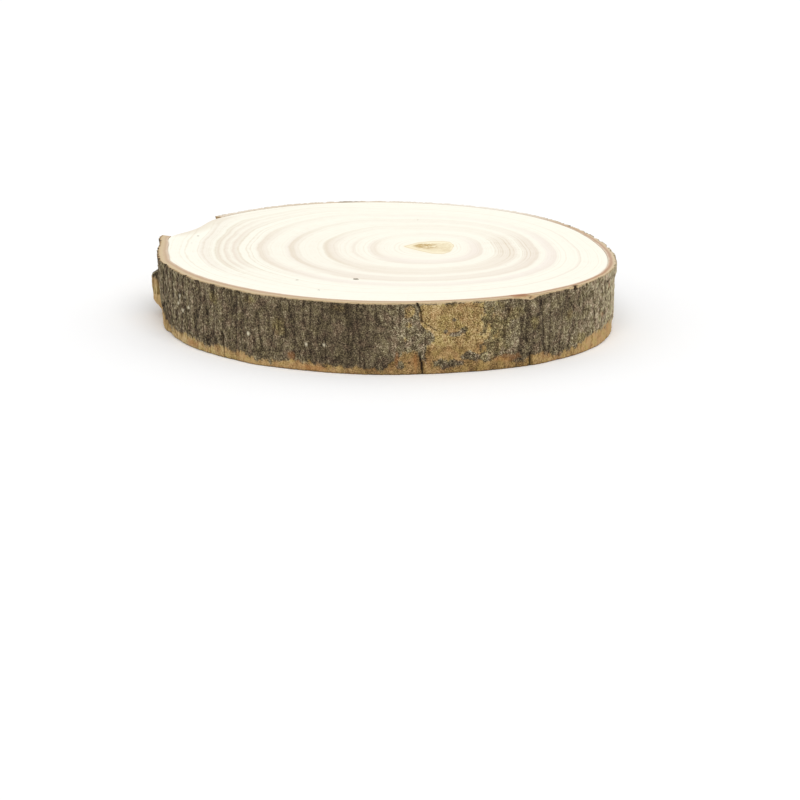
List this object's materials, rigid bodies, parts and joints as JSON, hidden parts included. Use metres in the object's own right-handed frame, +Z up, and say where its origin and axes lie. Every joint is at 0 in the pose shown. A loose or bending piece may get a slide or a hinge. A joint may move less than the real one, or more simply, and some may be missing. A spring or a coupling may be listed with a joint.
{
  "type": "wood slice",
  "caption": "Round slice sawn across a young tree trunk, with its rough bark on: a flat natural base, coaster or board for crafts, cake stands and table displays.",
  "frame": {"origin": "middle of the slice's underside, where it rests", "axes": "+Z up the trunk, square to the two sawn faces; +X to the right and -Y to the front as the picture shows the slice; the stretch without bark is at the back left, between -X and +Y"},
  "size_m": [0.1668, 0.1646, 0.025],
  "materials": {
    "wood": "pale sawn and sanded end grain, unfinished, matt",
    "bark": "rough grey-brown bark with narrow upright furrows, matt"
  },
  "bodies": {
    "root": {"wood": "wood", "bark": "bark"}
  },
  "joints": []
}
